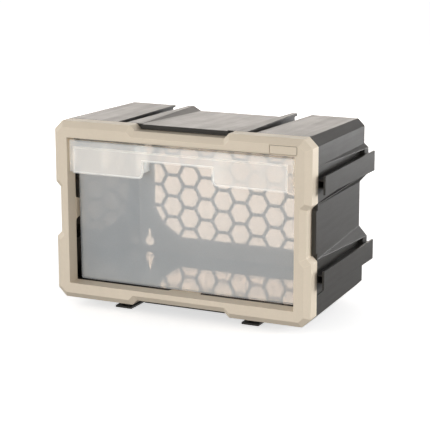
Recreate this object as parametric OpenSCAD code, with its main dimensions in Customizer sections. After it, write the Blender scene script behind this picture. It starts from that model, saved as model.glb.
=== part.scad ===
// Stackable drawer box for craft parts. A drafted shell with a honeycomb back
// slides onto its neighbours on tapered T-rails. A clip-on frame closes its
// front, and a clear drawer with a frosted pull slides out through the frame.
// Modules draw in box axes: X to the right, Y from the frame's face to the
// back and Z up, with X and Z measured from the middle of the frame.

/* [Box] */
// Width of the front frame, and of the shell at its front edge
body_w = 300; // [280:1:340]
// Height of the front frame, and of the shell at its front edge
body_h = 197; // [185:1:230]
// Depth from the frame's face to the shell's back edge
body_d = 167; // [120:1:220]
// Size of the cut-off corners
corner = 9.5; // [8:0.5:14]
// Thickness of the shell's walls
wall = 2.5; // [2:0.1:3]
// How far each outer wall leans in by the back edge
draft = 3; // [1:0.1:4]
// How deep the back wall sits inside the back edge
back_rim = 4.5; // [1:0.5:10]

/* [Middle panels] */
// Half length of the frame's upper and lower recess, at the outline
recess_half_x = 57.5; // [45:0.5:59]
// Half length of the frame's side recesses, at the outline
recess_half_z = 30.5; // [20:0.5:32]
// Depth of the frame's recesses
recess = 5.5; // [4.9:0.1:7]
// How far the shell's middle panels sink by the back edge
panel_sink = 7.5; // [3:0.1:9]
// Thickness of the middle panels at their front edge
panel_rim = 4.7; // [3:0.1:4.8]
// How far the middle panels' lips reach forward into the frame's recesses
panel_reach = 4; // [2:0.5:8]
// How much narrower a lip is at its outer face than at its inner one, at each end
panel_taper = 2.5; // [1:0.5:5]

/* [T-slots] */
// Distance from the middle to each slot and rail on top and underneath
slot_x = 76; // [74:0.5:90]
// Distance from the middle to each slot and rail on the sides
slot_z = 50; // [48:0.5:52]
// Width of a slot's mouth at its front end
mouth_front = 10; // [8:0.1:12]
// Width of a slot's mouth at its open back end
mouth_back = 17.5; // [14:0.1:18]
// Width of the slope from a middle panel up to a slot's ridge
ridge_slope = 9.3; // [4:0.1:10]
// How far a slot's ridge sinks by the back edge
ridge_drop = 2.3; // [1:0.1:3]
// Thickness of the walls around a slot's cavity
slot_wall = 2; // [1.5:0.1:2.5]

/* [T-rails] */
// How far a rail's plate stands out from the outline
rail_out = 9.4; // [9:0.1:11]
// Thickness of a rail's plate
plate_t = 2.3; // [1.8:0.1:2.8]
// Width of a rail's plate at its front end
plate_front = 19.7; // [18:0.1:21]
// Width of a rail's plate at its back end
plate_back = 22.2; // [21:0.1:23]
// Distance from the frame's face to a plate's front end
plate_y = 18; // [17.5:0.5:30]
// Distance from the frame's back edge to a web's front end
web_gap = 0.5; // [0.3:0.1:6]
// Thickness of each side of a rail's hollow web
web_wall = 1.2; // [1:0.1:2.4]
// How far the pad under a rail stands out by the back edge
pad_out = 2; // [0.5:0.1:2.3]
// Distance from a rail's middle to its pad's inner edge, at the front
pad_in_front = 21.3; // [14:0.1:21.5]
// Distance from a rail's middle to its pad's inner edge, at the back
pad_in_back = 14.5; // [13:0.1:17]
// Distance from a rail's middle to its pad's outer edge, at the front
pad_front = 18.8; // [16:0.1:20]
// Distance from a rail's middle to its pad's outer edge, at the back
pad_back = 14.3; // [13:0.1:16]
// Width of the slope from a pad's outer edge to the plain wall
pad_slope = 4.2; // [3:0.1:6]
// Width of the crests that a pad's channels leave along its edges
pad_crest = 1; // [0.8:0.1:1.5]
// Depth of a pad's channels below the drafted wall
channel_depth = 1; // [0.5:0.1:2]
// Distance from the channels' closed ends to the shell's back edge
channel_end = 13; // [10:0.5:20]

/* [Front frame] */
// Depth of the frame's outer walls
frame_d = 21.5; // [20:0.5:26]
// Thickness of the frame's walls
frame_wall = 2.4; // [1.8:0.1:2.6]
// Depth of the bevel around the frame's face
bevel_d = 5.4; // [4:0.1:7]
// Width of the bevel around the frame's face
bevel_in = 6.3; // [4:0.1:6.5]
// Distance from the outline to the opening
rim = 17.4; // [17:0.1:20]
// Depth of the opening's inner walls
jamb_d = 15.5; // [12:0.5:16]
// How far the inner walls lean into the opening by their back edge
jamb_lean = 0.8; // [0.2:0.1:1]
// Length of the upper and lower tongues behind the opening
tongue_x = 38; // [20:1:50]
// Length of the side tongues behind the opening
tongue_z = 25; // [15:1:35]
// How far the tongues reach behind the inner walls
tongue_y = 8.5; // [5:0.5:12]
// How far the locating tabs reach into the shell
tab_y = 8; // [4:0.5:12]
// Length of each locating tab beside a corner
tab_len = 12; // [8:1:14]

/* [Badge] */
// Width of the blank badge
badge_w = 30; // [20:1:40]
// Height of the blank badge
badge_h = 9; // [5:0.5:9.5]
// Thickness of the blank badge
badge_t = 0.9; // [0.5:0.1:1.2]
// Radius of the blank badge's corners
badge_round = 1.6; // [0.5:0.1:3]
// Distance from the frame's right edge to the badge's middle
badge_in = 30; // [28:1:50]

/* [Back wall] */
// Distance between the honeycomb's rows, and between its columns' neighbours
cell_pitch = 25; // [20:0.5:30]
// Width of the ribs between the cells
cell_rib = 3.5; // [2.5:0.1:5]
// Height of the honeycomb's middle row above the middle of the box
cell_z = 1.3; // [0:0.1:5]
// Distance from the outline to the honeycomb's sides
field_in_x = 39.2; // [38:0.1:50]
// Distance from the outline to the honeycomb's top and bottom
field_in_z = 38.5; // [37:0.1:45]
// Width of a honeycomb corner's cut, up to its shoulder
shoulder_x = 10.8; // [6:0.1:14]
// Height of a honeycomb corner's cut, down to its shoulder
shoulder_z = 16; // [10:0.1:18]
// Width of a whole honeycomb corner's cut
field_cut_x = 33.8; // [24:0.1:40]
// Height of a whole honeycomb corner's cut
field_cut_z = 35.5; // [28:0.1:40]
// Diameter of a keyhole's round end
keyhole_d = 11.8; // [9:0.1:13]
// Width of a keyhole's slot at its seat
keyhole_seat = 4; // [3:0.1:4.6]
// Width of a keyhole's slot where it leaves the round end
keyhole_throat = 5; // [4.6:0.1:6]
// Distance from a keyhole's round end to the seat in its slot
keyhole_rise = 12.7; // [10:0.1:14]
// Distance from the outline's sides to the keyholes
keyhole_in_x = 32.2; // [30:0.1:33]
// Distance from the outline's top and bottom to the keyholes' seats
keyhole_in_z = 43; // [40:0.1:46]

/* [Drawer] */
// Thickness of the drawer's walls
tub_wall = 2; // [1.5:0.1:2.5]
// Radius of the drawer's upright corners
tub_corner = 4; // [3:0.5:8]
// Radius of the drawer's lower edges
tub_edge = 2.6; // [2.6:0.1:3.8]
// How far the drawer's sides and back lean in by the floor
tub_lean = 1; // [0:0.1:2]
// Distance from the frame's face to the drawer's front wall
tub_front = 17; // [16.2:0.1:20]
// Height of the drawer's stop lugs
lug_h = 5; // [4:0.1:6]
// Length of a stop lug along the drawer
lug_len = 8; // [5:0.5:12]
// How far the drawer slides out before its stop lugs meet the frame
travel = 122; // [60:1:128]

/* [Hood and pull] */
// Distance from the drawer's sides to the pull's ends
pull_in = 5; // [2:0.1:15]
// Height of the pull at its two grips
pull_h = 29.4; // [24:0.2:40]
// Height of the pull between its grips
pull_mid_h = 10.8; // [8:0.2:16]
// Width between the two grips
pull_gap = 80.4; // [60:0.2:100]
// Thickness of the pull
pull_wall = 1.8; // [1.5:0.1:2.5]
// Distance from the drawer's top edge down to the pull
pull_drop = 6.4; // [4:0.1:10]
// Radius of each grip's inner lower corner
pull_round = 6; // [3:0.5:8]
// Width of the raised edge around the pull's face
bead_w = 1.6; // [1:0.1:3]
// How far the raised edge stands out from the pull's face
bead_h = 0.4; // [0.2:0.1:0.8]
// How far the hood's lower edges stay behind the pull's
hood_in = 1; // [0.5:0.1:2]
// Distance from a grip's inner edge to the hood's first rib
rib_first = 9; // [6:0.5:14]
// Distance between the hood's ribs
rib_step = 41; // [36:1:46]

/* [Clearances] */
// Room beside a web in a slot's mouth
mouth_fit = 0.5; // [0.2:0.1:1]
// Room beside a plate in a slot's cavity
cavity_fit = 0.6; // [0.2:0.1:1]
// Room outside a plate in a slot's cavity
plate_fit = 1; // [0.5:0.1:1.5]
// Room between a plate and the lips over it
lip_fit = 1.7; // [1.6:0.1:2.5]
// Room between the frame's tabs and the shell
tab_fit = 0.4; // [0.2:0.1:0.8]
// Room around the badge in its pocket
badge_fit = 0.4; // [0.1:0.1:0.5]
// Room between the drawer and the opening's sides
side_fit = 1.6; // [1:0.1:2.5]
// Room between the drawer and the opening's lower edge
floor_fit = 0.3; // [0.3:0.1:2]
// Room between the drawer and the opening's upper edge
top_fit = 1.8; // [1:0.1:3]
// Room behind the drawer
back_fit = 2; // [1:0.1:4]
// Room between the drawer and the runners under it
run_fit = 0.3; // [0.2:0.1:0.5]
// Room between the drawer and the guides beside it
guide_fit = 0.8; // [0.5:0.1:1.2]
// Room between the stop lugs and the frame with the drawer out
stop_fit = 0.3; // [0.2:0.1:0.5]
// Room between the pull and the hood behind it
pull_fit = 0.2; // [0.1:0.1:0.5]

/* [Hidden] */
$fn = 48;

// How far a cut runs past the face it opens
over = 1;

// Half of the turn where an outline leaves a wall at 45 degrees
half_turn = 22.5;

// Straight runs in each quarter of a round corner
arc_runs = 6;

// The four walls, as quarter turns from the top
TOP = 0;
RIGHT = 1;
BELOW = 2;
LEFT = 3;

// Sections of the shell
panel_half_x = recess_half_x - recess;
panel_half_z = recess_half_z - recess;
wall_back = body_d - back_rim;
wall_front = wall_back - wall;

// T-slots and T-rails
cavity_w = plate_back + 2 * cavity_fit;
cavity_floor = rail_out + plate_fit;
lip = rail_out - plate_t - lip_fit;
web_front = mouth_front - 2 * mouth_fit;
web_back = mouth_back - 2 * mouth_fit;
web_y = frame_d + web_gap;
web_root = 0.5;
core_end = 5;
ridge_step = 1;

// Opening of the frame at its face and at the back of its inner walls
opening_w = body_w - 2 * rim;
opening_h = body_h - 2 * rim;
jamb_wall = 2;
throat_w = opening_w - 2 * jamb_lean;
throat_h = opening_h - 2 * jamb_lean;
tongue_t = 1.8;
tongue_taper = 3;
tab_t = 2;
tab_root = 9;

// Badge in the face above the opening
badge_sunk = 0.3;
badge_x = body_w / 2 - badge_in;
badge_z = body_h / 2 - (rim + bevel_in) / 2;

// Honeycomb and keyholes
field_x = body_w / 2 - field_in_x;
field_z = body_h / 2 - field_in_z;
keyhole_x = body_w / 2 - keyhole_in_x;
keyhole_z = body_h / 2 - keyhole_in_z;
cell_r = (cell_pitch - cell_rib) / 2 / cos(30);
column_pitch = cell_pitch * cos(30);
columns = ceil(field_x / column_pitch);
rows = ceil(field_z / cell_pitch);

// Drawer
tub_w = throat_w - 2 * side_fit;
tub_back = wall_front - back_fit;
tub_z = -throat_h / 2 + floor_fit;
tub_top = throat_h / 2 - top_fit;
lug_y = jamb_d + travel + stop_fit;
lug_flat = 2;

// Runners and guides inside the shell
runner_t = 2.5;
runner_in = 9;
runner_x = tub_w / 2 - runner_in;
guide_rise = 8;

// Hood and pull
pull_top = tub_top - pull_drop;
pull_w = tub_w - 2 * pull_in;
hood_y = pull_wall + pull_fit;
rib_root = 1;

function mix(a, b, k) = a + (b - a) * k;

// Share of the way from the frame's back edge to the shell's back edge
function along(y) = (y - frame_d) / (body_d - frame_d);

function turned(list) = [for (i = [len(list) - 1:-1:0]) list[i]];

// A half profile, as [distance along the wall, distance out], made whole
function whole(half) = concat([for (p = turned(half)) [-p.x, p.y]], half);

// Size of a corner cut on an outline that lies inside the first one
function cut_at(inset) = corner - inset * (2 - sqrt(2));

function arc(centre, r, from, to) =
    [for (i = [0:arc_runs]) let (a = mix(from, to, i / arc_runs)) centre + r * [cos(a), sin(a)]];

// Profile of a wall with two slots: middle panel, ridge and plain edge.
// k is 0 at the frame and 1 at the back edge, t is 0 outside and the wall inside.
function slot_profile(k, t, panel, slot, half) =
    let (inset = draft * k + t, turn = t * tan(half_turn)) whole([
        [panel + turn, -mix(t > 0 ? panel_rim : 0, panel_sink + t, k)],
        [panel + ridge_slope + turn, -ridge_drop * k - t],
        [slot, -ridge_drop * k - t],
        [slot + ridge_step, -inset],
        [half - inset - cut_at(inset), -inset]
    ]);

// Places of a pad's inner and outer edge, measured from its rail's middle
function pad_inner(k) = mix(pad_in_front, pad_in_back, k);
function pad_outer(k) = mix(pad_front, pad_back, k);

// Profile of a wall with two rails: middle panel, pad and plain edge
function rail_profile(k, t, panel, rail, half) =
    let (inset = draft * k + t, turn = t * tan(half_turn)) whole([
        [panel + turn, -mix(t > 0 ? panel_rim : 0, panel_sink + t, k)],
        [rail - pad_inner(k) + turn, pad_out * k - t],
        [rail + pad_outer(k) - turn, pad_out * k - t],
        [rail + pad_outer(k) + pad_slope - turn, -inset],
        [half - inset - cut_at(inset), -inset]
    ]);

// The shell's section as [x, z], clockwise from the front
function section(k, t) = concat(
    [for (p = slot_profile(k, t, panel_half_x, slot_x, body_w / 2)) [p.x, body_h / 2 + p.y]],
    [for (p = turned(rail_profile(k, t, panel_half_z, slot_z, body_h / 2))) [body_w / 2 + p.y, p.x]],
    [for (p = turned(rail_profile(k, t, panel_half_x, slot_x, body_w / 2))) [p.x, -body_h / 2 - p.y]],
    [for (p = slot_profile(k, t, panel_half_z, slot_z, body_h / 2)) [-body_w / 2 - p.y, p.x]]
);

// Half of one side of the frame's outline, drawn in by inset
function frame_side(inset, recess_half, half) = whole([
    [recess_half - recess + inset * tan(half_turn), -recess - inset],
    [recess_half + inset * tan(half_turn), -inset],
    [half - inset - cut_at(inset), -inset]
]);

// The frame's outline as [x, z], clockwise from the front
function frame_outline(inset) =
    let (level = frame_side(inset, recess_half_x, body_w / 2))
    let (upright = frame_side(inset, recess_half_z, body_h / 2))
    concat(
        [for (p = level) [p.x, body_h / 2 + p.y]],
        [for (p = turned(upright)) [body_w / 2 + p.y, p.x]],
        [for (p = turned(level)) [p.x, -body_h / 2 - p.y]],
        [for (p = upright) [-body_w / 2 - p.y, p.x]]
    );

function rectangle(w, h) = [[-w, h] / 2, [w, h] / 2, [w, -h] / 2, [-w, -h] / 2];

// A rectangle with round corners
function rounded(w, h, r) =
    let (x = w / 2 - r, z = h / 2 - r)
    concat(arc([x, z], r, 0, 90), arc([-x, z], r, 90, 180),
        arc([-x, -z], r, 180, 270), arc([x, -z], r, 270, 360));

// Middle of a ring's points
function middle(ring) = [for (i = [0:len(ring) - 1]) 1] * ring / len(ring);

function at_y(outline, y) = [for (p = outline) [p.x, y, p.y]];

// Skins a stack of like rings, each clockwise when seen from before the first.
// The ends are fans from their middles, because the outlines have notches.
module stack(rings) {
    n = len(rings[0]);
    last = (len(rings) - 1) * n;
    sides = [for (r = [0:len(rings) - 2], i = [0:n - 1])
        let (a = r * n + i, b = r * n + (i + 1) % n)
        let (near = rings[r], far = rings[r + 1], j = (i + 1) % n)
        let (straight = norm(near[i] - far[j]) < norm(near[j] - far[i]))
        each (straight
            ? [[a, a + n, b + n], [a, b + n, b]]
            : [[a, a + n, b], [b, a + n, b + n]])];
    hub = last + n;
    caps = [for (i = [0:n - 1]) let (j = (i + 1) % n)
        each [[hub, i, j], [hub + 1, last + j, last + i]]];
    hubs = [middle(rings[0]), middle(rings[len(rings) - 1])];
    polyhedron(concat([for (ring = rings) each ring], hubs), concat(caps, sides));
}

module loft(front, y0, back, y1) stack([at_y(front, y0), at_y(back, y1)]);

// Extrudes an outline, given as [x, z], from y0 to y1
module slab(outline, y0, y1) {
    translate([0, y1, 0]) rotate([90, 0, 0]) linear_extrude(y1 - y0) polygon(outline);
}

// Puts what is drawn as [along, y, out] on one wall of the box
module on_wall(side) {
    half = side % 2 == 0 ? body_h / 2 : body_w / 2;
    rotate([0, 90 * side, 0]) translate([0, 0, half]) children();
}

// Two mirrored copies on each of the named walls, at a slot's or rail's place
module at_slots(sides) {
    for (side = sides, way = [0, 1]) {
        place = side % 2 == 0 ? slot_x : slot_z;
        on_wall(side) mirror([way, 0, 0]) translate([place, 0, 0]) children();
    }
}

// Leans what is drawn on a wall inwards with the wall's draft
module drafted() {
    translate([0, frame_d, 0]) rotate([-atan(draft / (body_d - frame_d)), 0, 0])
        translate([0, -frame_d, 0]) children();
}

// A tapering strip along a wall, from out0 to out1
module strip(y0, w0, y1, w1, out0, out1) {
    translate([0, 0, out0]) linear_extrude(out1 - out0)
        polygon([[-w0 / 2, y0], [w0 / 2, y0], [w1 / 2, y1], [-w1 / 2, y1]]);
}

module skin(y0, y1, t) loft(section(along(y0), t), y0, section(along(y1), t), y1);

module slot_housing() {
    w = cavity_w + 2 * slot_wall;
    strip(frame_d, w, body_d, w, -cavity_floor - slot_wall, 0);
}

// The cavity for a neighbour's plate, and the tapered mouth for its web
module slot_cut() {
    slope = (mouth_back - mouth_front) / (body_d - frame_d) * over;
    strip(frame_d - over, cavity_w, body_d + over, cavity_w, -cavity_floor, -lip);
    strip(frame_d - over, mouth_front - slope, body_d + over, mouth_back + slope,
        -lip - over / 2, over);
}

// Plan of a pad inside its crests, from y0 to y1, with its sides moved out by grow
function channel_plan(y0, y1, grow) =
    let (k0 = along(y0), k1 = along(y1), side = grow - pad_crest) [
        [-pad_inner(k0) - side, y0],
        [pad_outer(k0) + side, y0],
        [pad_outer(k1) + side, y1],
        [-pad_inner(k1) - side, y1]
    ];

// The wall around and behind a pad's channels
module channel_housing() {
    end = body_d - channel_end + wall;
    drafted() translate([0, 0, -channel_depth - wall]) linear_extrude(channel_depth + wall + draft)
        polygon(channel_plan(frame_d, end, wall));
}

// The channels on both sides of a rail's web, open at the front
module channel_cut() {
    end = body_d - channel_end;
    difference() {
        drafted() translate([0, 0, -channel_depth])
            linear_extrude(channel_depth + draft + pad_out + over)
            polygon(channel_plan(frame_d - over, end, 0));
        strip(web_y, web_front, body_d, web_back, -channel_depth - draft - over, pad_out + over);
    }
}

module rail() {
    thin = 2 * web_wall;
    strip(plate_y, plate_front, body_d, plate_back, rail_out - plate_t, rail_out);
    difference() {
        strip(web_y, web_front, body_d, web_back, -web_root, rail_out - plate_t);
        strip(web_y - over, web_front - thin, body_d - core_end, web_back - thin,
            -web_root - over, rail_out - plate_t);
    }
}

// The lips of the middle panels, in front of the shell's other edges
module panel_lips() {
    for (side = [TOP, RIGHT, BELOW, LEFT]) {
        low = side % 2 == 0 ? panel_half_x : panel_half_z;
        high = low - panel_taper;
        on_wall(side) translate([0, frame_d, 0]) rotate([90, 0, 0]) linear_extrude(panel_reach)
            polygon([[-low, -panel_rim], [low, -panel_rim], [high, 0], [-high, 0]]);
    }
}

module honeycomb() {
    corner_cut = [
        [field_x - field_cut_x, field_z],
        [field_x - shoulder_x, field_z - shoulder_z],
        [field_x, field_z - field_cut_z]
    ];
    field = concat(
        corner_cut, [for (p = turned(corner_cut)) [p.x, -p.y]],
        -corner_cut, [for (p = turned(corner_cut)) [-p.x, p.y]]
    );
    intersection() {
        slab(field, wall_front - over, wall_back + over);
        for (i = [-columns:columns], j = [-rows - 1:rows]) {
            z = cell_z + (j + abs(i % 2) / 2) * cell_pitch;
            translate([i * column_pitch, wall_back + over, z]) rotate([90, 0, 0])
                cylinder(h = wall + 2 * over, r = cell_r, $fn = 6);
        }
    }
}

// A keyhole with the seat of its slot at the origin
module keyhole() {
    deep = wall + 2 * over;
    slot = [[-keyhole_seat, 0], [keyhole_seat, 0],
        [keyhole_throat, -2 * keyhole_rise], [-keyhole_throat, -2 * keyhole_rise]] / 2;
    rotate([90, 0, 0]) {
        cylinder(h = deep, d = keyhole_seat);
        linear_extrude(deep) polygon(slot);
        translate([0, -keyhole_rise, 0]) cylinder(h = deep, d = keyhole_d);
    }
}

// Ribs on the shell's floor that carry and guide the drawer, behind the tabs
module runners() {
    start = frame_d + tab_y + tab_fit;
    length = wall_front - start;
    low = -body_h / 2;
    for (way = [0, 1]) mirror([way, 0, 0]) {
        translate([runner_x, start, low]) cube([runner_t, length, tub_z - run_fit - low]);
        translate([tub_w / 2 + guide_fit, start, low])
            cube([runner_t, length, tub_z + guide_rise - low]);
    }
}

module shell() color([0.16, 0.16, 0.15]) {
    difference() {
        union() {
            difference() {
                skin(frame_d, body_d, 0);
                skin(frame_d - over, wall_front, wall);
                skin(wall_back, body_d + over, wall);
            }
            intersection() {
                skin(frame_d, body_d, 0);
                union() {
                    at_slots([TOP, LEFT]) slot_housing();
                    at_slots([RIGHT, BELOW]) channel_housing();
                    runners();
                }
            }
        }
        at_slots([TOP, LEFT]) slot_cut();
        at_slots([RIGHT, BELOW]) channel_cut();
        honeycomb();
        for (x = [-1, 1], z = [-1, 1])
            translate([x * keyhole_x, wall_back + over, z * keyhole_z]) keyhole();
    }
    at_slots([RIGHT, BELOW]) rail();
    panel_lips();
}

// A tongue that runs back from an inner wall, with tapered ends
module tongue(length) {
    place = -rim - jamb_lean;
    strip(jamb_d, length, jamb_d + tongue_y, length - 2 * tongue_taper,
        place, place + tongue_t);
}

// A tab that joins the frame's outer wall and steps in behind the shell's wall
module tab(length, inset) {
    strip(frame_d - tab_root, length, frame_d, length, -inset - tab_t, -inset + wall);
    strip(frame_d - over, length, frame_d + tab_y, length, -inset - tab_t, -inset);
}

module tabs() {
    inset = wall + draft * along(frame_d + tab_y) + tab_fit;
    for (side = [TOP, RIGHT, BELOW, LEFT], way = [-1, 1]) {
        half = side % 2 == 0 ? body_w / 2 : body_h / 2;
        place = half - inset - tab_t - corner - tab_len / 2;
        on_wall(side) translate([way * place, 0, 0]) tab(tab_len, inset);
    }
}

// The frame's outer form with a bevelled face
module frame_solid() {
    stack([
        at_y(frame_outline(bevel_in), 0),
        at_y(frame_outline(0), bevel_d),
        at_y(frame_outline(0), frame_d)
    ]);
}

// The space behind the frame's face, between its outer and inner walls
module frame_hollow() {
    turn = frame_wall * tan(half_turn);
    difference() {
        stack([
            at_y(frame_outline(bevel_in + turn), frame_wall),
            at_y(frame_outline(frame_wall), bevel_d + turn),
            at_y(frame_outline(frame_wall), frame_d + over)
        ]);
        slab(rectangle(opening_w + 2 * jamb_wall, opening_h + 2 * jamb_wall), 0, jamb_d);
    }
}

module badge_shape(grow, y0, y1) {
    w = badge_w + 2 * grow;
    h = badge_h + 2 * grow;
    slab(rounded(w, h, badge_round + grow), y0, y1);
}

module front_frame() color([0.84, 0.79, 0.71]) {
    back = jamb_d + over;
    past = jamb_lean / jamb_d * over;
    difference() {
        frame_solid();
        frame_hollow();
        loft(rectangle(opening_w + 2 * past, opening_h + 2 * past), -over,
            rectangle(throat_w - 2 * past, throat_h - 2 * past), back);
        translate([badge_x, 0, badge_z])
            badge_shape(badge_fit, -over, badge_t + badge_sunk);
    }
    for (side = [TOP, RIGHT, BELOW, LEFT])
        on_wall(side) tongue(side % 2 == 0 ? tongue_x : tongue_z);
    tabs();
}

module badge_plate() color([0.86, 0.82, 0.74]) {
    translate([badge_x, 0, badge_z]) badge_shape(0, badge_sunk, badge_sunk + badge_t);
}

// Outline of the drawer seen from above, drawn in by inset and by its lean
function tub_ring(z, inset) =
    let (lean = tub_lean * (tub_top - z) / (tub_top - tub_z))
    let (x = tub_w / 2 - lean - inset, y0 = tub_front + inset, y1 = tub_back - lean - inset)
    let (r = tub_corner - inset)
    [for (p = concat(
        arc([x - r, y1 - r], r, 0, 90), arc([r - x, y1 - r], r, 90, 180),
        arc([r - x, y0 + r], r, 180, 270), arc([x - r, y0 + r], r, 270, 360))) [p.x, p.y, z]];

// The drawer's form from its rounded lower edge up, drawn in by inset
module tub_form(inset, top) {
    edge = tub_edge - inset;
    stack(concat(
        [for (a = [0:30:90]) tub_ring(tub_z + inset + edge * (1 - cos(a)), inset + edge * (1 - sin(a)))],
        [tub_ring(top, inset)]
    ));
}

// A lug on the drawer's side that meets the frame's inner wall from behind
module stop_lug() {
    profile = [[0, 0], [lug_len, 0], [lug_flat, lug_h], [0, lug_h]];
    translate([-tub_wall, lug_y, tub_top]) rotate([90, 0, 90])
        linear_extrude(tub_wall) polygon(profile);
}

// Outline over the two grips, as [x, z] from the pull's top edge: a bar with a grip
// at each end. top is its upper edge, and inset draws in its lower and inner edges.
function grip_outline(half_w, top, inset) =
    let (gap = pull_gap / 2 + inset, r = pull_round - inset, low = inset - pull_h)
    let (half = concat(
        [[half_w, top], [half_w, low]],
        turned(arc([gap + r, low + r], r, 180, 270)),
        [[gap, inset - pull_mid_h]]))
    concat(half, [for (p = turned(half)) [-p.x, p.y]]);

// A wall between the hood's front and the drawer, with its left face at x
module hood_rib(x, back) {
    translate([x, hood_y, -pull_h + pull_round])
        cube([tub_wall, back - hood_y, pull_h - pull_round + pull_drop]);
}

// The hood over the grips, in front of the drawer's front wall
module hood() {
    back = tub_front + rib_root;
    slab(grip_outline(tub_w / 2, pull_drop, hood_in), hood_y, hood_y + tub_wall);
    for (way = [0, 1]) mirror([way, 0, 0]) {
        translate([0, hood_y, pull_drop - tub_wall]) cube([tub_w / 2, back - hood_y, tub_wall]);
        hood_rib(pull_gap / 2 + hood_in, back);
        hood_rib(pull_gap / 2 + rib_first, back);
        hood_rib(pull_gap / 2 + rib_first + rib_step, back);
        hood_rib(tub_w / 2 - tub_wall, tub_front + tub_corner);
    }
}

module drawer() color([0.85, 0.88, 0.9, 0.4]) {
    difference() {
        tub_form(0, tub_top);
        tub_form(tub_wall, tub_top + over);
    }
    translate([0, 0, pull_top]) hood();
    translate([tub_w / 2, 0, 0]) stop_lug();
    mirror([1, 0, 0]) translate([tub_w / 2, 0, 0]) stop_lug();
}

module drawer_pull() color([0.9, 0.9, 0.87, 0.8]) {
    translate([0, 0, pull_top]) difference() {
        slab(grip_outline(pull_w / 2, 0, 0), 0, pull_wall);
        slab(grip_outline(pull_w / 2 - bead_w, -bead_w, bead_w), -over, bead_h);
    }
}

// Moves the box so that the origin is at the middle of its footprint
module placed() {
    translate([-rail_out / 2, -body_d / 2, body_h / 2 + rail_out]) children();
}

placed() shell();
placed() front_frame();
placed() badge_plate();
placed() drawer();
placed() drawer_pull();
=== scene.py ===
"""Dresses a stackable drawer box: the finish of its mouldings, and a pale studio around it."""

import math

import bpy
from bpy.props import FloatProperty, FloatVectorProperty, IntProperty, PointerProperty
from mathutils import Matrix, Vector

bl_info = {
    "name": "Stackable Drawer Box",
    "version": (1, 0, 0),
    "blender": (4, 5, 0),
    "location": "3D View > Sidebar > Drawer Box",
    "description": "Dresses a stackable drawer box and sets a pale studio around it",
    "category": "Object",
}

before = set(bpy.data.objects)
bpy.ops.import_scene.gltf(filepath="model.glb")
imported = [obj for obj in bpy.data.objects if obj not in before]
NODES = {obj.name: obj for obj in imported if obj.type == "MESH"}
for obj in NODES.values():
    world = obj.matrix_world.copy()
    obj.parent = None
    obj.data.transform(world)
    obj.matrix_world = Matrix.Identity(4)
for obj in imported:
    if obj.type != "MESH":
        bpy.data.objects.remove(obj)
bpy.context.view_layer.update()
MM = 0.001

WHITE = (1.0, 1.0, 1.0)
WARM = (1.0, 0.92, 0.84)

# Texture of the opaque plastics: distances between features, and how strong they are
CLOUD_SIZE = 90 * MM
SPECK_SIZE = 1.5 * MM
SPECK_SHARE = 0.25
STREAK_SIZE = 6 * MM
STREAK_STRETCH = (1.0, 0.06, 1.0)
STREAK_TINT = 8
GLOSS_PATCH_SIZE = 25 * MM
GLOSS_PATCH_DEPTH = 0.015
GRAIN_STRENGTH = 0.6
PLASTIC_INDEX = 1.5

# Texture of the clear plastics
HAZE_CLOUD_SIZE = 60 * MM
HAZE_CLOUDS = (0.98, 1.02)
HAZE_SPECK_SIZE = 1.2 * MM
HAZE_SPECK = 0.92
HAZE_SPECK_SHARE = 0.3
WAVE_SIZE = 35 * MM
WAVE_STRENGTH = 0.25
WAVE_DEPTH = 0.1 * MM
CLEAR_PATCH_SIZE = 15 * MM
CLEAR_PATCHES = (0.8, 1.2)

# Refractive index that sets how strongly the clear plastics' faces mirror. Light
# goes straight through these thin walls, so a face mirrors alike on both sides.
SKIN_INDEX = 1.8

# Share of the clear plastics' haze that is passed on to the far side of a face
HAZE_PASSED = 0.3

# The clear plastics' side faces are more polished: they have this share of the haze
# and mirror by this index, so that they show the honeycomb's reflection. A face
# counts as a side face from the first to the second share of its normal along X.
SIDE_HAZE = 0.15
SIDE_INDEX = 2.5
SIDE_NORMAL = (0.5, 0.95)

# Height of the hood's top, the depth of its upper strip, and how much lighter the strip's haze is
# painted, to lift the shade that the frame's top jamb casts on it
HOOD_TOP = 186.4 * MM
HOOD_STRIP = 6 * MM
HOOD_SHADE_LIFT = 1.2

# Where the hood ends behind, and how much milkier its ribs and ends are
HOOD_BACK = -66.0 * MM
RIB_MILK = 2.2

# Distance over which the hood's haze blends into the tub's
HOOD_BLEND = 1 * MM

# Rounding of the mouldings' edges: corners closer than the first are joined, edges
# sharper than the second are rounded and those shallower than the third shade smooth
JOIN_DISTANCE = 0.002 * MM
ROUNDED_ANGLE = math.radians(28)
SMOOTH_ANGLE = math.radians(35)
# Material slot of the rounded edges' faces, which carry the painted edge highlights and the
# badge's painted seam shadow
EDGE_SLOT = 1

FLOOR_HALF = 6.0
FLOOR_CLOUD_SIZE = 0.4
FLOOR_ROUGHNESS = 0.8
GLOW_NEAR, GLOW_FAR = 0.3, 0.9

# Sine of the angles between which the light from below gives way to the horizon's
GROUND_FADE = (-0.4, -0.05)

# Soft lights: name, which is also the setting of its power, place, width and height, colour
SOFT_LIGHTS = (
    ("right_light", (1.7, 0.45, 0.4), (1.0, 0.8), WHITE),
    ("front_light", (0.0, -2.0, 0.3), (1.6, 0.6), WHITE),
    ("left_light", (-1.6, -0.6, 0.5), (1.2, 1.2), WHITE),
    ("back_light", (-0.67, 1.41, 0.56), (1.6, 0.7), WARM),
    ("corner_light", (1.0, 1.7, 0.22), (0.9, 0.4), WHITE),
)
LIGHT_TARGET = (0.0, 0.0, 0.1)


# Settings that a user would change

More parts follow.
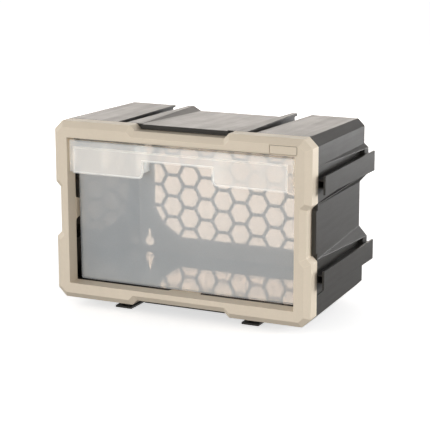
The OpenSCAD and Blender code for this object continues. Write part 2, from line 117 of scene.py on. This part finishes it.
class MouldingSettings(bpy.types.PropertyGroup):
    """Colours and grain of the opaque mouldings"""

    shell_color: FloatVectorProperty(
        name="Shell Color",
        description="Base colour of the black shell",
        subtype="COLOR",
        min=0.0,
        max=1.0,
        default=(0.034, 0.031, 0.027),
    )
    frame_color: FloatVectorProperty(
        name="Frame Color",
        description="Base colour of the beige frame and its badge",
        subtype="COLOR",
        min=0.0,
        max=1.0,
        default=(0.81, 0.70, 0.555),
    )
    grain_size: FloatProperty(
        name="Grain Size",
        description="Distance between the pits of the moulded grain",
        unit="LENGTH",
        min=0.0002,
        max=0.003,
        default=0.0007,
    )
    edge_radius: FloatProperty(
        name="Edge Radius",
        description="How far the mouldings' edges are rounded",
        unit="LENGTH",
        min=0.0001,
        max=0.001,
        default=0.0004,
    )
    edge_steps: IntProperty(
        name="Edge Steps",
        description="Number of faces across a rounded edge",
        min=1,
        max=4,
        default=3,
    )


class ClearSettings(bpy.types.PropertyGroup):
    """How the clear drawer and its milky pull pass and scatter light"""

    drawer_tint: FloatVectorProperty(
        name="Drawer Tint",
        description="Light that passes each face of the drawer",
        subtype="COLOR",
        min=0.0,
        max=1.0,
        default=(0.77, 0.725, 0.68),
    )
    drawer_haze: FloatVectorProperty(
        name="Drawer Haze",
        description="Light that each face of the drawer scatters",
        subtype="COLOR",
        min=0.0,
        max=1.0,
        default=(0.26, 0.29, 0.315),
    )
    drawer_gloss: FloatProperty(
        name="Drawer Roughness",
        description="Roughness of the drawer's polished faces",
        subtype="FACTOR",
        min=0.0,
        max=1.0,
        default=0.02,
    )
    pull_tint: FloatVectorProperty(
        name="Pull Tint",
        description="Light that passes each face of the milky pull",
        subtype="COLOR",
        min=0.0,
        max=1.0,
        default=(0.80, 0.77, 0.74),
    )
    pull_haze: FloatVectorProperty(
        name="Pull Haze",
        description="Light that each face of the milky pull scatters",
        subtype="COLOR",
        min=0.0,
        max=1.0,
        default=(0.315, 0.33, 0.34),
    )


class StudioSettings(bpy.types.PropertyGroup):
    """Camera, floor and lights"""

    camera_place: FloatVectorProperty(
        name="Camera Place",
        description="Where the camera stands",
        subtype="TRANSLATION",
        unit="LENGTH",
        default=(0.69720, -1.47373, 0.47837),
    )
    camera_yaw: FloatProperty(
        name="Camera Yaw",
        description="How far the camera is turned to its left from looking straight at the front",
        subtype="ANGLE",
        default=math.radians(25.322),
    )
    camera_pitch: FloatProperty(
        name="Camera Pitch",
        description="How far the camera looks down",
        subtype="ANGLE",
        default=math.radians(13.102),
    )
    camera_roll: FloatProperty(
        name="Camera Roll",
        description="How far the camera leans about its line of sight",
        subtype="ANGLE",
        default=math.radians(0.139),
    )
    lens: FloatProperty(
        name="Lens",
        description="Focal length on a sensor 36 mm wide, in millimetres",
        min=50.0,
        max=300.0,
        default=127.36,
    )
    floor_color: FloatVectorProperty(
        name="Floor Color",
        description="Colour of the floor",
        subtype="COLOR",
        min=0.0,
        max=1.0,
        default=(0.94, 0.94, 0.94),
    )
    near_glow: FloatProperty(
        name="Near Glow",
        description="Brightness of the lit floor under the object",
        min=0.0,
        max=2.0,
        default=0.6,
    )
    far_glow: FloatProperty(
        name="Far Glow",
        description="Brightness of the lit floor away from the object",
        min=0.0,
        max=2.0,
        default=0.72,
    )
    sky: FloatProperty(
        name="Sky",
        description="Brightness of the white surroundings at the horizon",
        min=0.0,
        max=3.0,
        default=0.75,
    )
    ceiling: FloatProperty(
        name="Ceiling",
        description="Brightness of the surroundings overhead",
        min=0.0,
        max=3.0,
        default=0.08,
    )
    ground: FloatProperty(
        name="Ground",
        description="Brightness of the light that comes up to the object from below",
        min=0.0,
        max=3.0,
        default=0.1,
    )
    right_light: FloatProperty(
        name="Right Light",
        description="Power of the soft light on the right",
        unit="POWER",
        min=0.0,
        default=15.0,
    )
    front_light: FloatProperty(
        name="Front Light",
        description="Power of the soft light in front, which nothing mirrors",
        unit="POWER",
        min=0.0,
        default=15.5,
    )
    left_light: FloatProperty(
        name="Left Light",
        description="Power of the soft light on the left",
        unit="POWER",
        min=0.0,
        default=6.0,
    )
    back_light: FloatProperty(
        name="Back Light",
        description="Power of the soft light behind, which the top mirrors",
        unit="POWER",
        min=0.0,
        default=8.5,
    )
    corner_light: FloatProperty(
        name="Corner Light",
        description="Power of the soft light behind on the right, which the side mirrors",
        unit="POWER",
        min=0.0,
        default=10.0,
    )


# Shader and geometry nodes

def add(tree, kind, inputs=None, **values):
    """Adds a node, sets its values and inputs, and links those inputs that are sockets"""
    node = tree.nodes.new(kind)
    for name, value in values.items():
        setattr(node, name, value)
    for name, value in (inputs or {}).items():
        if isinstance(value, bpy.types.NodeSocket):
            tree.links.new(value, node.inputs[name])
        else:
            node.inputs[name].default_value = value
    return node


def new_material(name):
    """Returns a material, its empty node tree and its output"""
    material = bpy.data.materials.new(name)
    material.use_nodes = True
    tree = material.node_tree
    tree.nodes.clear()
    return material, tree, add(tree, "ShaderNodeOutputMaterial")


def noise(tree, place, size, detail=2.0, roughness=0.5):
    """A noise whose features are about size metres apart, as a socket from 0 to 1"""
    inputs = {"Vector": place, "Scale": 1.0 / size, "Detail": detail, "Roughness": roughness}
    return add(tree, "ShaderNodeTexNoise", inputs).outputs["Fac"]


def spread(tree, value, low, high, start=0.35, end=0.65):
    """Maps values from start to end, by default a noise's middle, to a range from low to high"""
    inputs = {"Value": value, "From Min": start, "From Max": end, "To Min": low, "To Max": high}
    return add(tree, "ShaderNodeMapRange", inputs).outputs["Result"]


def fade(tree, share, low, high):
    """Goes from low to high as a share goes from 0 to 1"""
    return spread(tree, share, low, high, start=0.0, end=1.0)


def blend_colors(tree, share, first, second):
    """Mixes two colours by a share from 0 to 1"""
    mix = tree.nodes.new("ShaderNodeMix")
    mix.data_type = "RGBA"
    tree.links.new(share, mix.inputs["Factor"])
    for socket, color in zip([s for s in mix.inputs if s.type == "RGBA"], (first, second)):
        if isinstance(color, bpy.types.NodeSocket):
            tree.links.new(color, socket)
        else:
            socket.default_value = color
    return next(s for s in mix.outputs if s.type == "RGBA")


def shade(color, factor):
    """A colour made lighter or darker, with full alpha"""
    return tuple(min(1.0, part * factor) for part in color) + (1.0,)


def scaled(color, factor):
    """A colour made lighter or darker, without alpha"""
    return tuple(part * factor for part in color)


def object_place(tree):
    """A point's place in the CAD's own coordinates"""
    return add(tree, "ShaderNodeTexCoord").outputs["Object"]


def stretched(tree, place, scale):
    """The same place with each axis scaled"""
    return add(tree, "ShaderNodeMapping", {"Vector": place, "Scale": scale}).outputs["Vector"]


# Materials

def moulded_plastic(name, color, rough, grain_size, grain_depth, tone=0.03, flow=0.02):
    """Opaque plastic with a fine grain, cloudy tone, flow marks along Y and uneven gloss"""
    material, tree, output = new_material(name)
    place = object_place(tree)
    cloud = noise(tree, place, CLOUD_SIZE, detail=3.0)
    speck = noise(tree, place, SPECK_SIZE, detail=1.0)
    streak = noise(tree, stretched(tree, place, STREAK_STRETCH), STREAK_SIZE, detail=3.0)
    dark, light = shade(color, 1 - tone), shade(color, 1 + tone)
    base = blend_colors(tree, spread(tree, cloud, 0.0, 1.0), dark, light)
    fleck = shade(color, 1 - 2 * tone)
    base = blend_colors(tree, spread(tree, speck, 0.0, SPECK_SHARE), base, fleck)
    mark = shade(color, 1 + 3 * tone)
    base = blend_colors(tree, spread(tree, streak, 0.0, flow * STREAK_TINT), base, mark)
    patch = noise(tree, place, GLOSS_PATCH_SIZE, detail=4.0)
    even = spread(tree, patch, rough - GLOSS_PATCH_DEPTH, rough + GLOSS_PATCH_DEPTH)
    gloss = add(tree, "ShaderNodeMath", {0: even, 1: spread(tree, streak, -flow, flow)})
    bump = add(tree, "ShaderNodeBump", {
        "Height": noise(tree, place, grain_size, detail=2.0, roughness=0.6),
        "Strength": GRAIN_STRENGTH,
        "Distance": grain_depth,
    })
    shader = add(tree, "ShaderNodeBsdfPrincipled", {
        "Base Color": base,
        "Roughness": gloss.outputs[0],
        "Normal": bump.outputs["Normal"],
        "IOR": PLASTIC_INDEX,
    })
    tree.links.new(shader.outputs["BSDF"], output.inputs["Surface"])
    return material


def haze_color(tree, place, side, haze, haze_lift, rib_milk):
    """Cloudy haze with specks, painted lighter at the hood's upper strip to lift the frame's shade
    there, milkier at the hood's ribs, clearer at the tub's sides
    """
    cloud = spread(tree, noise(tree, place, HAZE_CLOUD_SIZE, detail=3.0), 0.0, 1.0)
    speck = noise(tree, place, HAZE_SPECK_SIZE, detail=1.0)
    # The haze is scaled by the lift given for this material; above 1, on the rounded edges, it is
    # a painted highlight
    dark, light = (shade(haze, factor * haze_lift) for factor in HAZE_CLOUDS)
    color = blend_colors(tree, cloud, dark, light)
    specks = spread(tree, speck, 0.0, HAZE_SPECK_SHARE)
    color = blend_colors(tree, specks, color, shade(haze, HAZE_SPECK * haze_lift))
    parts = add(tree, "ShaderNodeSeparateXYZ", {0: place}).outputs
    # Painted lightening: the hood's upper strip gets lighter haze to lift the shade that the
    # frame's top jamb casts there
    strip_end = HOOD_TOP - HOOD_STRIP
    painted_lift_strip = spread(tree, parts["Z"], 0.0, 1.0, start=strip_end - HOOD_BLEND, end=strip_end)
    color = blend_colors(tree, painted_lift_strip, color, shade(haze, HOOD_SHADE_LIFT))
    tub = spread(tree, parts["Y"], 0.0, 1.0, start=HOOD_BACK - HOOD_BLEND, end=HOOD_BACK)
    clearer = fade(tree, side, 0.0, fade(tree, tub, 0.0, 1.0 - SIDE_HAZE))
    color = blend_colors(tree, clearer, color, (0.0, 0.0, 0.0, 1.0))
    milkier = fade(tree, side, 0.0, fade(tree, tub, 1.0, 0.0))
    return blend_colors(tree, milkier, color, shade(haze, rib_milk))


def mirrored_share(tree, side, backfacing):
    """Share of the light that a face mirrors, alike from both of its sides"""
    outer = fade(tree, side, SKIN_INDEX, SIDE_INDEX)
    inner = fade(tree, side, 1 / SKIN_INDEX, 1 / SIDE_INDEX)
    index = fade(tree, backfacing, outer, inner)
    return add(tree, "ShaderNodeFresnel", {"IOR": index}).outputs["Fac"]


def hazy_plastic(name, tint, haze, rough, haze_lift=1.0, rib_milk=1.0):
    """Thin clear plastic that passes tinted light, scatters some and mirrors some"""
    material, tree, output = new_material(name)
    place = object_place(tree)
    surface = add(tree, "ShaderNodeNewGeometry").outputs
    across = add(tree, "ShaderNodeSeparateXYZ", {0: surface["Normal"]}).outputs["X"]
    width = add(tree, "ShaderNodeMath", {0: across}, operation="ABSOLUTE").outputs[0]
    start, end = SIDE_NORMAL
    side = spread(tree, width, 0.0, 1.0, start=start, end=end)
    color = haze_color(tree, place, side, haze, haze_lift, rib_milk)
    clear = add(tree, "ShaderNodeBsdfTransparent", {"Color": shade(tint, 1)})
    front = add(tree, "ShaderNodeBsdfDiffuse", {"Color": color})
    back = add(tree, "ShaderNodeBsdfTranslucent", {"Color": color})
    scatter = add(tree, "ShaderNodeMixShader", {
        0: HAZE_PASSED,
        1: front.outputs[0],
        2: back.outputs[0],
    })
    body = add(tree, "ShaderNodeAddShader", {0: clear.outputs[0], 1: scatter.outputs[0]})
    smooth, dull = (rough * factor for factor in CLEAR_PATCHES)
    wave = add(tree, "ShaderNodeBump", {
        "Height": noise(tree, place, WAVE_SIZE, detail=1.0),
        "Strength": WAVE_STRENGTH,
        "Distance": WAVE_DEPTH,
    })
    skin = add(tree, "ShaderNodeBsdfGlossy", {
        "Color": (1.0, 1.0, 1.0, 1.0),
        "Roughness": spread(tree, noise(tree, place, CLEAR_PATCH_SIZE, detail=3.0), smooth, dull),
        "Normal": wave.outputs["Normal"],
    })
    whole = add(tree, "ShaderNodeMixShader", {
        0: mirrored_share(tree, side, surface["Backfacing"]),
        1: body.outputs[0],
        2: skin.outputs[0],
    })
    tree.links.new(whole.outputs[0], output.inputs["Surface"])
    return material


# Shapes

def smooth_edges_group():
    """A geometry node group that shades smooth across all but the sharp edges"""
    name = "Smooth Shallow Edges"
    if name in bpy.data.node_groups:
        return bpy.data.node_groups[name]
    tree = bpy.data.node_groups.new(name, "GeometryNodeTree")
    tree.interface.new_socket("Geometry", in_out="INPUT", socket_type="NodeSocketGeometry")
    tree.interface.new_socket("Geometry", in_out="OUTPUT", socket_type="NodeSocketGeometry")
    start = add(tree, "NodeGroupInput")
    angle = add(tree, "GeometryNodeInputMeshEdgeAngle").outputs["Unsigned Angle"]
    shallow = add(tree, "FunctionNodeCompare", {0: angle, 1: SMOOTH_ANGLE}, operation="LESS_THAN")
    faces = add(tree, "GeometryNodeSetShadeSmooth", {"Geometry": start.outputs[0]}, domain="FACE")
    edges = add(tree, "GeometryNodeSetShadeSmooth", {
        "Geometry": faces.outputs[0],
        "Shade Smooth": shallow.outputs[0],
    }, domain="EDGE")
    add(tree, "NodeGroupOutput", {0: edges.outputs[0]})
    return tree


def soften(node, radius, steps):
    """Rounds the edges of a CAD node with modifiers, and shades its curves smooth"""
    modifiers = node.modifiers
    weld = modifiers.new("Join Corners", "WELD")
    weld.merge_threshold = JOIN_DISTANCE
    bevel = modifiers.new("Round Edges", "BEVEL")
    bevel.width = radius
    bevel.segments = steps
    bevel.limit_method = "ANGLE"
    bevel.angle_limit = ROUNDED_ANGLE
    bevel.use_clamp_overlap = False
    # The rounded edges take the second material, a painted highlight or a painted seam shadow
    bevel.material = EDGE_SLOT
    smooth = modifiers.new("Smooth Curves", "NODES")
    smooth.node_group = smooth_edges_group()
    normals = modifiers.new("Even Normals", "WEIGHTED_NORMAL")
    normals.keep_sharp = True


def dress(name, look, face, edge):
    """Gives a CAD node the materials of its faces and of its rounded edges"""
    node = NODES[name]
    node.data.materials.clear()
    node.data.materials.append(face)
    node.data.materials.append(edge)
    soften(node, look.edge_radius, look.edge_steps)


# Operators, one for each piece or group of like pieces

class DRAWERBOX_OT_dress_shell(bpy.types.Operator):
    """Gives the shell its grained black plastic, and a lighter copy of it on the rounded edges as
    a painted highlight
    """

    bl_idname = "drawerbox.dress_shell"
    bl_label = "Dress Shell"

    def execute(self, context):
        look = context.scene.drawerbox_moulding
        black = moulded_plastic(
            "black_plastic", look.shell_color, 0.42, look.grain_size, 0.05 * MM,
            tone=0.05, flow=0.03)
        # A lighter copy for the shell's rounded edges: a painted highlight
        painted_edge_highlight = moulded_plastic(
            "black_edge", scaled(look.shell_color, 1.3), 0.5, look.grain_size, 0.02 * MM,
            tone=0.1)
        dress("shell", look, black, painted_edge_highlight)
        return {"FINISHED"}


class DRAWERBOX_OT_dress_frame(bpy.types.Operator):
    """Gives the front frame and its blank badge their beige plastic, with a lighter copy on the
    frame's rounded edges as a painted highlight and a dark copy on the badge's rounded edges as a
    painted shadow in its seam
    """

    bl_idname = "drawerbox.dress_frame"
    bl_label = "Dress Frame"

    def execute(self, context):
        look = context.scene.drawerbox_moulding
        beige = moulded_plastic("beige_plastic", look.frame_color, 0.5, look.grain_size, 0.03 * MM)
        # A lighter, glossier copy for the frame's rounded edges: a painted highlight
        painted_edge_highlight = moulded_plastic(
            "beige_edge", scaled(look.frame_color, 1.06), 0.42, look.grain_size, 0.01 * MM)
        # A dark copy for the badge's rounded edges: a painted shadow in the seam around it
        painted_seam_shade = moulded_plastic(
            "beige_groove", scaled(look.frame_color, 0.4), 0.6, look.grain_size, 0.01 * MM)
        dress("front_frame", look, beige, painted_edge_highlight)
        dress("badge_plate", look, beige, painted_seam_shade)
        return {"FINISHED"}


class DRAWERBOX_OT_dress_drawer(bpy.types.Operator):
    """Gives the drawer its clear plastic, with a painted highlight on its rounded edges"""

    bl_idname = "drawerbox.dress_drawer"
    bl_label = "Dress Drawer"

    def execute(self, context):
        clear = context.scene.drawerbox_clear
        tint, haze = clear.drawer_tint, clear.drawer_haze
        walls = hazy_plastic("clear_plastic", tint, haze, clear.drawer_gloss, rib_milk=RIB_MILK)
        # Lighter haze on the rounded edges: a painted highlight
        painted_rim_highlight = hazy_plastic("clear_edge", tint, haze, 0.1, haze_lift=1.3, rib_milk=RIB_MILK)
        dress("drawer", context.scene.drawerbox_moulding, walls, painted_rim_highlight)
        return {"FINISHED"}


class DRAWERBOX_OT_dress_pull(bpy.types.Operator):
    """Gives the pull its frosted, milky plastic, with a painted highlight on its rounded edges"""

    bl_idname = "drawerbox.dress_pull"
    bl_label = "Dress Pull"

    def execute(self, context):
        clear = context.scene.drawerbox_clear
        walls = hazy_plastic("milky_plastic", clear.pull_tint, clear.pull_haze, 0.15)
        # Lighter haze on the rounded edges: a painted highlight
        painted_rim_highlight = hazy_plastic("milky_edge", clear.pull_tint, clear.pull_haze, 0.2, haze_lift=1.6)
        dress("drawer_pull", context.scene.drawerbox_moulding, walls, painted_rim_highlight)
        return {"FINISHED"}


def soft_light(name, place, size, power, color):
    """A large area light, out of the camera's sight, that looks at the object"""
    data = bpy.data.lights.new(name, "AREA")
    data.energy = power
    data.color = color
    data.shape = "RECTANGLE"
    data.size, data.size_y = size
    light = bpy.data.objects.new(name, data)
    light.location = place
    ahead = Vector(LIGHT_TARGET) - light.location
    light.rotation_euler = ahead.to_track_quat("-Z", "Y").to_euler()
    light.visible_camera = False
    bpy.context.scene.collection.objects.link(light)
    return light


def camera_matrix(studio):
    """Where the camera stands and how it is turned, from its yaw, pitch and roll"""
    yaw, pitch, roll = studio.camera_yaw, studio.camera_pitch, studio.camera_roll
    ahead = Vector((
        -math.sin(yaw) * math.cos(pitch),
        math.cos(yaw) * math.cos(pitch),
        -math.sin(pitch),
    ))
    level = Vector((math.cos(yaw), math.sin(yaw), 0))
    down = ahead.cross(level)
    right = level * math.cos(roll) + down * math.sin(roll)
    up = level * math.sin(roll) - down * math.cos(roll)
    turn = Matrix((right, up, -ahead)).transposed().to_4x4()
    return Matrix.Translation(studio.camera_place) @ turn


class DRAWERBOX_OT_set_stage(bpy.types.Operator):
    """Sets the pale floor, the soft light and the camera"""

    bl_idname = "drawerbox.set_stage"
    bl_label = "Set Stage"

    def execute(self, context):
        scene = context.scene
        studio = scene.drawerbox_studio
        self.add_camera(scene, studio)
        self.add_floor(scene, studio)
        self.add_light(scene, studio)
        scene.view_settings.view_transform = "Standard"
        scene.cycles.transparent_max_bounces = 32
        scene.cycles.max_bounces = 16
        return {"FINISHED"}

    def add_camera(self, scene, studio):
        """The camera of the photo"""
        data = bpy.data.cameras.new("photo_camera")
        data.sensor_width = 36.0
        data.lens = studio.lens
        data.clip_end = 50.0
        camera = bpy.data.objects.new("photo_camera", data)
        camera.matrix_world = camera_matrix(studio)
        scene.collection.objects.link(camera)
        scene.camera = camera

    def add_floor(self, scene, studio):
        """A wide floor that takes a soft shadow but isn't mirrored and lights nothing"""
        half = FLOOR_HALF
        mesh = bpy.data.meshes.new("floor")
        corners = [(-half, -half, 0), (half, -half, 0), (half, half, 0), (-half, half, 0)]
        mesh.from_pydata(corners, [], [(0, 1, 2, 3)])
        floor = bpy.data.objects.new("floor", mesh)
        material, tree, output = new_material("pale_floor")
        place = object_place(tree)
        cloud = spread(tree, noise(tree, place, FLOOR_CLOUD_SIZE), 0.0, 1.0)
        light, dark = shade(studio.floor_color, 1), shade(studio.floor_color, 0.99)
        away = add(tree, "ShaderNodeVectorMath", {0: place}, operation="LENGTH").outputs["Value"]
        glow = spread(
            tree, away, studio.near_glow, studio.far_glow, start=GLOW_NEAR, end=GLOW_FAR)
        shader = add(tree, "ShaderNodeBsdfPrincipled", {
            "Base Color": blend_colors(tree, cloud, light, dark),
            "Roughness": FLOOR_ROUGHNESS,
            "Emission Color": (1.0, 1.0, 1.0, 1.0),
            "Emission Strength": glow,
        })
        tree.links.new(shader.outputs["BSDF"], output.inputs["Surface"])
        mesh.materials.append(material)
        scene.collection.objects.link(floor)
        floor.visible_diffuse = False
        floor.visible_glossy = False

    def add_light(self, scene, studio):
        """Pale surroundings that darken overhead and below, and five soft lights"""
        world = bpy.data.worlds.new("studio")
        scene.world = world
        world.use_nodes = True
        tree = world.node_tree
        place = add(tree, "ShaderNodeTexCoord").outputs["Generated"]
        height = add(tree, "ShaderNodeSeparateXYZ", {0: place}).outputs["Z"]
        above = fade(tree, height, studio.sky, studio.ceiling)
        start, end = GROUND_FADE
        strength = spread(tree, height, studio.ground, above, start=start, end=end)
        background = tree.nodes["Background"].inputs
        background["Color"].default_value = (1.0, 1.0, 1.0, 1.0)
        tree.links.new(strength, background["Strength"])
        for name, spot, size, color in SOFT_LIGHTS:
            light = soft_light(name, spot, size, getattr(studio, name), color)
            light.visible_glossy = name != "front_light"


class DRAWERBOX_PT_panel(bpy.types.Panel):
    """Lists the settings and the steps that dress the box"""

    bl_idname = "DRAWERBOX_PT_panel"
    bl_label = "Drawer Box"
    bl_space_type = "VIEW_3D"
    bl_region_type = "UI"
    bl_category = "Drawer Box"

    def draw(self, context):
        layout = self.layout
        for attribute in SETTINGS:
            group = getattr(context.scene, attribute)
            box = layout.box()
            for name in group.__annotations__:
                box.prop(group, name)
        for step in STEPS:
            layout.operator(step.bl_idname)


SETTINGS = {
    "drawerbox_moulding": MouldingSettings,
    "drawerbox_clear": ClearSettings,
    "drawerbox_studio": StudioSettings,
}
STEPS = (
    DRAWERBOX_OT_set_stage,
    DRAWERBOX_OT_dress_shell,
    DRAWERBOX_OT_dress_frame,
    DRAWERBOX_OT_dress_drawer,
    DRAWERBOX_OT_dress_pull,
)


def register():
    for item in (*SETTINGS.values(), *STEPS, DRAWERBOX_PT_panel):
        bpy.utils.register_class(item)
    for name, group in SETTINGS.items():
        setattr(bpy.types.Scene, name, PointerProperty(type=group))


def unregister():
    for name in SETTINGS:
        delattr(bpy.types.Scene, name)
    for item in reversed((*SETTINGS.values(), *STEPS, DRAWERBOX_PT_panel)):
        bpy.utils.unregister_class(item)


def main():
    register()
    bpy.ops.drawerbox.set_stage()
    bpy.ops.drawerbox.dress_shell()
    bpy.ops.drawerbox.dress_frame()
    bpy.ops.drawerbox.dress_drawer()
    bpy.ops.drawerbox.dress_pull()


if __name__ == "__main__":
    main()
